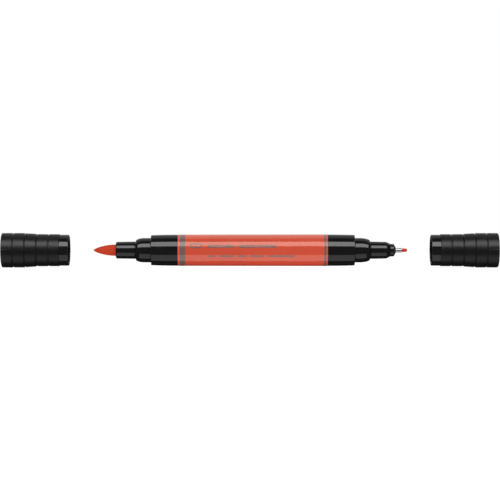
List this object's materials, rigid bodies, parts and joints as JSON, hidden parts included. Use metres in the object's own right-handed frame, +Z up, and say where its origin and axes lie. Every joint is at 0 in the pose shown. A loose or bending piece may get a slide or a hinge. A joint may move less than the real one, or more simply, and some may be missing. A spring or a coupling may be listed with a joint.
{
  "type": "calligraphy marker",
  "caption": "Double-ended calligraphy marker with a soft brush nib, a fine point and two ribbed caps that slide on over them.",
  "frame": {"origin": "on the plane that the caps rest on, under the middle of the row of pen and caps", "axes": "+X along the pen's axis towards the fine nib, +Z up, the printed side faces -Y"},
  "size_m": [0.2034, 0.0144, 0.0141],
  "materials": {
    "barrel_plastic": "glossy moulded",
    "section_plastic": "glossy moulded",
    "grip_plastic": "fine satin texture",
    "cap_body_plastic": "glossy moulded",
    "inner_cap_plastic": "natural, slightly waxy",
    "end_plug_plastic": "satin moulded",
    "nib_housing_plastic": "satin moulded",
    "brush_fibre": "bonded fibre, wet with ink",
    "point_fibre": "ink-stained extruded fibre",
    "sleeve_steel": "drawn tube",
    "wick_fibre": "bonded fibre, wet with ink",
    "reservoir_fibre": "bonded fibre, wet with ink",
    "reservoir_film_plastic": "clear film"
  },
  "bodies": {
    "barrel": {"barrel_tube": "barrel_plastic", "brush_section": "section_plastic", "fine_section": "section_plastic", "brush_nib_holder": "section_plastic", "fine_nib_holder": "section_plastic", "brush_nib": "brush_fibre", "fine_nib_housing": "nib_housing_plastic", "fine_nib_sleeve": "sleeve_steel", "fine_nib_core": "point_fibre", "fine_ink_wick": "wick_fibre", "ink_reservoir": "reservoir_fibre", "reservoir_film": "reservoir_film_plastic"},
    "brush_cap": {"brush_cap_grip": "grip_plastic", "brush_cap_body": "cap_body_plastic", "brush_cap_inner": "inner_cap_plastic", "brush_cap_end_plug": "end_plug_plastic"},
    "fine_cap": {"fine_cap_grip": "grip_plastic", "fine_cap_body": "cap_body_plastic", "fine_cap_inner": "inner_cap_plastic", "fine_cap_end_plug": "end_plug_plastic"}
  },
  "joints": [
    {"name": "brush_cap_slide", "type": "slide", "parent": "barrel", "child": "brush_cap", "axis": [1, 0, 0], "range_m": [0, 0.0333]},
    {"name": "fine_cap_slide", "type": "slide", "parent": "barrel", "child": "fine_cap", "axis": [-1, 0, 0], "range_m": [0, 0.03095]}
  ]
}
